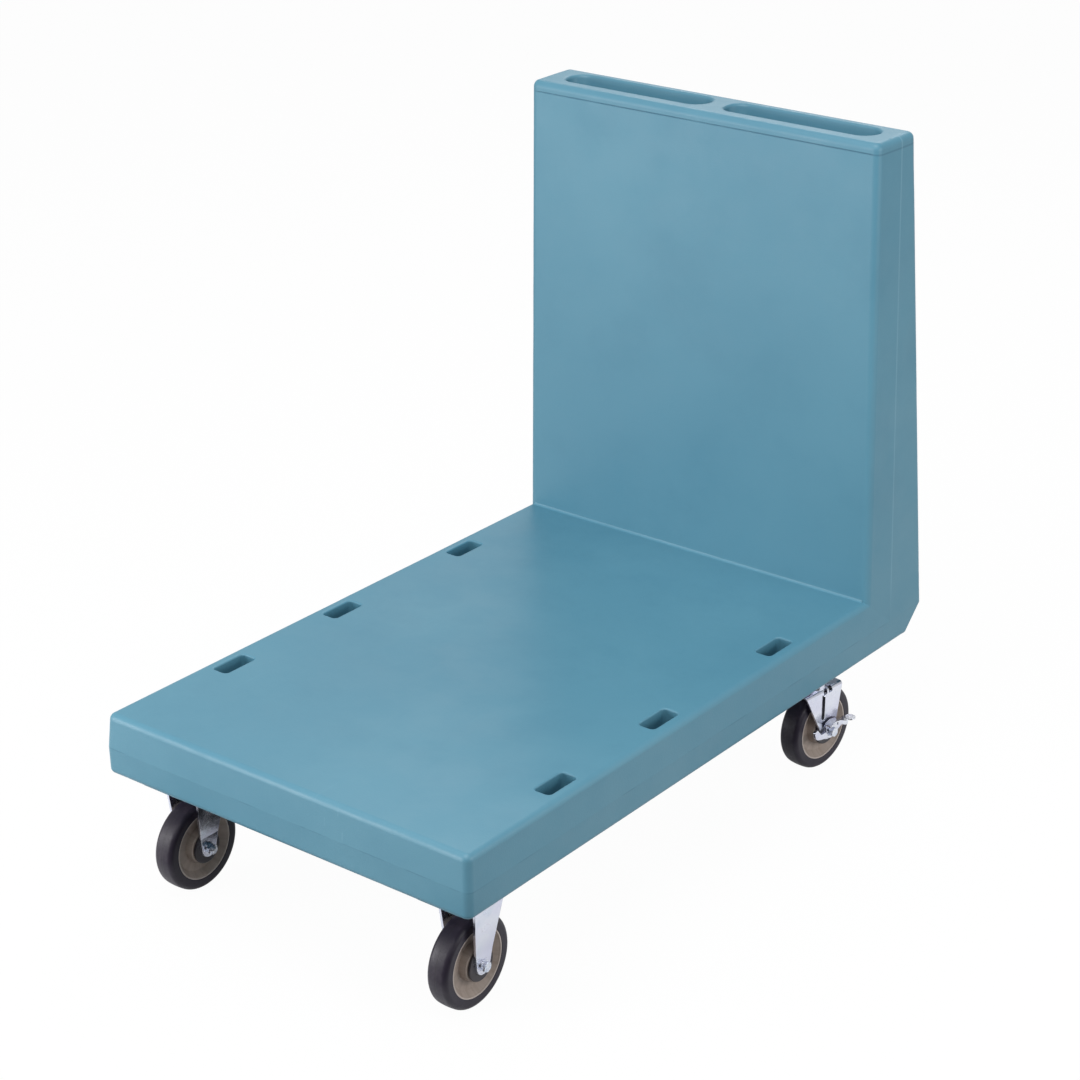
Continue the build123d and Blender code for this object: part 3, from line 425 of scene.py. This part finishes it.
def sheet_zinc(shader):
    """Bright zinc plate over rolled sheet: drifting tint, rolling lines and rubbed edges."""
    drift = shader.remap(shader.noise(16.0), 0.35, 0.65)
    colour = shader.mix(drift, ZINC_LAVENDER, ZINC_PALE)
    tint = shader.remap(shader.noise(34.0, detail=2.0), 0.50, 0.72, 0.0, 0.55)
    colour = shader.mix(tint, colour, ZINC_BLUE)
    colour = shader.stain(colour, SHEET_RUBBED, shader.edge_mask(0.0006), 0.65)
    stains = shader.remap(shader.noise(85.0, detail=5.0, roughness=0.7), 0.62, 0.80, 0.0, 0.35)
    colour = shader.mix(stains, colour, STEEL_DARK)
    lines = shader.noise(1.0, roughness=0.6, place=shader.stretched((1600.0, 90.0, 1600.0)))
    smears = shader.noise(48.0, detail=4.0, roughness=0.6)
    roughness = shader.remap(smears, 0.30, 0.70, 0.16, 0.30)
    ripple = shader.bump(shader.noise(60.0, detail=2.0), 0.25, 0.0008, shader.soft_edges(0.0007))
    return shader.finish(colour, roughness, shader.bump(lines, 0.10, 0.0002, ripple), metallic=1.0)


def brake_zinc(shader):
    """Bright zinc over a formed stamping, polished where shoes rub it."""
    polish = shader.remap(shader.noise(70.0), 0.4, 0.65)
    colour = shader.mix(polish, ZINC_PALE, ZINC_LAVENDER)
    colour = shader.stain(colour, BRAKE_RUBBED, shader.edge_mask(0.0007), 0.8)
    scratches = shader.noise(1.0, detail=2.0, place=shader.stretched((300.0, 2400.0, 300.0)))
    roughness = shader.remap(shader.noise(110.0), 0.3, 0.7, 0.12, 0.26)
    ripple = shader.bump(shader.noise(95.0, detail=2.0), 0.35, 0.0008, shader.soft_edges(0.0008))
    return shader.finish(colour, roughness, shader.bump(scratches, 0.12, 0.0002, ripple), metallic=1.0)


def fastener_zinc(shader):
    """Zinc on forged and turned hardware: facing rings on flat ends and rubbed corners."""
    rings = shader.waves(shader.radius_about_x(), 14000.0)
    colour = shader.mix(shader.remap(shader.noise(210.0, detail=4.0), 0.4, 0.7), ZINC_PALE, ZINC_BLUE)
    colour = shader.stain(colour, FASTENER_RUBBED, shader.edge_mask(0.0004), 0.7)
    roughness = shader.remap(shader.noise(300.0), 0.3, 0.7, 0.18, 0.34)
    height = shader.maths("ADD", shader.times(rings, 0.25), shader.noise(1200.0))
    skin = shader.bump(height, 0.15, 0.0002, shader.soft_edges(0.0005))
    return shader.finish(colour, roughness, skin, metallic=1.0)


def ground_steel(shader):
    """Ground bearing steel under a film of grease."""
    film = shader.remap(shader.noise(140.0), 0.45, 0.65)
    colour = shader.mix(film, STEEL_GREY, STEEL_FILM)
    roughness = shader.remap(shader.noise(400.0), 0.3, 0.7, 0.10, 0.24)
    return shader.finish(colour, roughness, shader.bump(shader.noise(2400.0), 0.10, 0.0001), metallic=1.0)


def sleeve_steel(shader):
    """Drawn tube with fine turning lines."""
    across, _, _ = shader.axes()
    lines = shader.waves(across, 16000.0)
    colour = shader.mix(shader.remap(shader.noise(200.0), 0.4, 0.6), STEEL_GREY, STEEL_DARK)
    roughness = shader.remap(shader.noise(350.0), 0.3, 0.7, 0.24, 0.40)
    return shader.finish(colour, roughness, shader.bump(lines, 0.15, 0.0001), metallic=1.0)


def insert_steel(shader):
    """Knurled threaded inserts."""
    knurl = shader.cells(1100.0)
    colour = shader.mix(shader.remap(knurl, 0.2, 0.7), STEEL_DARK, STEEL_GREY)
    roughness = shader.remap(shader.noise(500.0), 0.3, 0.7, 0.28, 0.44)
    return shader.finish(colour, roughness, shader.bump(knurl, 0.35, 0.0003), metallic=1.0)


FINISHES = {
    "tread_rubber": tread_rubber,
    "wheel_plastic": wheel_plastic,
    "guard_plastic": guard_plastic,
    "cage_plastic": cage_plastic,
    "bearing_steel": ground_steel,
    "insert_steel": insert_steel,
    "brake_zinc": brake_zinc,
    "fastener_zinc": fastener_zinc,
    "caster_zinc": sheet_zinc,
    "sleeve_steel": sleeve_steel,
}


def corner_of(node):
    """The caster that a node belongs to, such as rear_right, or None for the platform."""
    words = node.split("_")
    return "_".join(words[:2]) if words[0] in ("front", "rear") else None


def new_finish(slot, corner):
    """A fresh material for the slot, centred on the corner's axle if it has one."""
    if slot == "moulded_body":
        return moulded_body()
    shader = Shader(f"{slot}_{corner or 'platform'}")
    if corner:
        spin = joints[f"{corner}_wheel_spin"]
        yaw = math.atan2(spin["axis"][1], spin["axis"][0])
        shader.centre_on(spin["pos_m"], yaw)
    return FINISHES[slot](shader)


def dress_nodes():
    """Give every CAD node its finish, made once for each slot at each corner."""
    made = {}
    for name, node in nodes_of.items():
        key = (slot_of[name], corner_of(name))
        if key not in made:
            made[key] = new_finish(*key)
        node.data.materials.clear()
        node.data.materials.append(made[key])
        for face in node.data.polygons:
            face.material_index = 0


# ---------------------------------------------------------------- stage

def link(thing):
    bpy.context.scene.collection.objects.link(thing)


def face_along(thing, direction):
    """Turn a lamp or camera, which looks down its own -Z, to look along a direction."""
    thing.rotation_mode = "QUATERNION"
    thing.rotation_quaternion = direction.to_track_quat("-Z", "Y")


def make_camera():
    low, high = cad_box
    aim = (low + high) / 2 + CAMERA_AIM_OFFSET
    azimuth, elevation = math.radians(CAMERA_AZIMUTH), math.radians(CAMERA_ELEVATION)
    back = Vector((
        math.sin(azimuth) * math.cos(elevation),
        -math.cos(azimuth) * math.cos(elevation),
        math.sin(elevation),
    ))
    data = bpy.data.cameras.new("camera")
    data.lens = CAMERA_LENS_MM
    data.sensor_width = CAMERA_SENSOR_MM
    data.clip_start, data.clip_end = CAMERA_CLIP
    camera = bpy.data.objects.new("camera", data)
    camera.location = aim + back * CAMERA_DISTANCE
    face_along(camera, -back)
    link(camera)
    bpy.context.scene.camera = camera


def make_floor():
    """A wide round floor just under the wheels."""
    turns = [2 * math.pi * side / FLOOR_SIDES for side in range(FLOOR_SIDES)]
    ring = [(FLOOR_RADIUS * math.cos(turn), FLOOR_RADIUS * math.sin(turn), 0.0) for turn in turns]
    mesh = bpy.data.meshes.new("floor")
    mesh.from_pydata(ring, [], [list(range(FLOOR_SIDES))])
    mesh.materials.append(floor_finish())
    floor = bpy.data.objects.new("floor", mesh)
    floor.location.z = cad_box[0].z - FLOOR_DROP
    link(floor)


def floor_finish():
    """Matt and pale: near white to the camera, shaded in mirrors, darker as a bounce, clear from below."""
    shader = Shader("studio_floor")
    rays = shader.add("ShaderNodeLightPath").outputs
    seen = shader.maths("MAXIMUM", rays["Is Camera Ray"], rays["Is Glossy Ray"])
    faint = shader.remap(shader.noise(3.0), 0.3, 0.7)
    pale = shader.mix(faint, (FLOOR_GREY,) * 3, (FLOOR_GREY + FLOOR_GREY_DRIFT,) * 3)
    colour = shader.mix(seen, (FLOOR_BOUNCE_GREY,) * 3, pale)
    shader.finish(colour, 0.7, shader.bump(shader.noise(60.0), 0.02, 0.001))
    near = shader.remap(
        rays["Is Camera Ray"], 0.0, 1.0, FLOOR_MIRROR_WHITENING, FLOOR_WHITENING, smooth=False
    )
    x, y, _ = shader.axes()
    far = shader.remap(shader.length(x, y), FLOOR_FADE_START, FLOOR_FADE_END)
    white = shader.add("ShaderNodeEmission")
    fade = shader.add("ShaderNodeMixShader")
    shader.feed(fade.inputs[0], shader.times(shader.maths("MAXIMUM", near, far), seen))
    shader.feed(fade.inputs[1], shader.surface.outputs[0])
    shader.feed(fade.inputs[2], white.outputs[0])
    below = shader.add("ShaderNodeMixShader")
    shader.feed(below.inputs[0], shader.add("ShaderNodeNewGeometry").outputs["Backfacing"])
    shader.feed(below.inputs[1], fade.outputs[0])
    shader.feed(below.inputs[2], shader.add("ShaderNodeBsdfTransparent").outputs[0])
    shader.feed(shader.tree.nodes["Material Output"].inputs["Surface"], below.outputs[0])
    return shader.material


def softbox(name, anchor, place, aim, size, watts):
    """A rectangular lamp, with its place and aim measured from an anchor point."""
    data = bpy.data.lights.new(name, "AREA")
    data.shape = "RECTANGLE"
    data.size, data.size_y = size
    data.energy = watts
    lamp = bpy.data.objects.new(name, data)
    lamp.location = anchor + Vector(place)
    face_along(lamp, Vector(aim) - Vector(place))
    link(lamp)


def make_lights():
    low, high = cad_box
    middle = (low + high) / 2
    low_middle = Vector((middle.x, middle.y, low.z + LOW_AIM_HEIGHT))
    for anchor, boxes in ((low_middle, LOW_SOFTBOXES), (middle, HIGH_SOFTBOXES)):
        for name, box in boxes.items():
            softbox(name, anchor, **box)


def make_flags():
    """Black flags round the seen casters, met only by mirror rays."""
    shader = Shader("flag_black")
    shader.finish(FLAG_BLACK, 0.9, shader.bump(shader.noise(40.0), 0.1, 0.001))
    floor_z = cad_box[0].z
    for corner, (first, last) in FLAG_TURNS.items():
        centre = Vector(joints[f"{corner}_wheel_spin"]["pos_m"])
        rim = []
        for step in range(FLAG_STEPS + 1):
            turn = math.radians(first + (last - first) * step / FLAG_STEPS)
            rim.append((centre.x + FLAG_RADIUS * math.sin(turn), centre.y - FLAG_RADIUS * math.cos(turn)))
        points = [(x, y, z) for z in (floor_z, floor_z + FLAG_HEIGHT) for x, y in rim]
        above = FLAG_STEPS + 1
        quads = [(step, step + 1, step + 1 + above, step + above) for step in range(FLAG_STEPS)]
        mesh = bpy.data.meshes.new(f"flag_{corner}")
        mesh.from_pydata(points, [], quads)
        mesh.materials.append(shader.material)
        flag = bpy.data.objects.new(f"flag_{corner}", mesh)
        for kind in FLAG_HIDDEN_FROM:
            setattr(flag, f"visible_{kind}", False)
        link(flag)


def make_world():
    """White backdrop for the camera and reflections, with a softer grey dome that lights the scene."""
    world = bpy.data.worlds.new("studio")
    bpy.context.scene.world = world
    world.use_nodes = True
    tree = world.node_tree
    rays = tree.nodes.new("ShaderNodeLightPath").outputs
    dome = tree.nodes["Background"]
    dome.inputs["Color"].default_value = (*DOME_COLOUR, 1.0)
    dome.inputs["Strength"].default_value = DOME_STRENGTH
    surface = dome.outputs[0]
    for ray, strength in (("Is Glossy Ray", MIRRORED_STRENGTH), ("Is Camera Ray", 1.0)):
        white = tree.nodes.new("ShaderNodeBackground")
        white.inputs["Color"].default_value = (1.0, 1.0, 1.0, 1.0)
        white.inputs["Strength"].default_value = strength
        choose = tree.nodes.new("ShaderNodeMixShader")
        tree.links.new(rays[ray], choose.inputs[0])
        tree.links.new(surface, choose.inputs[1])
        tree.links.new(white.outputs[0], choose.inputs[2])
        surface = choose.outputs[0]
    tree.links.new(surface, tree.nodes["World Output"].inputs["Surface"])


make_camera()
make_floor()
make_lights()
make_flags()
make_world()
dress_nodes()
bpy.context.scene.view_settings.view_transform = "Standard"
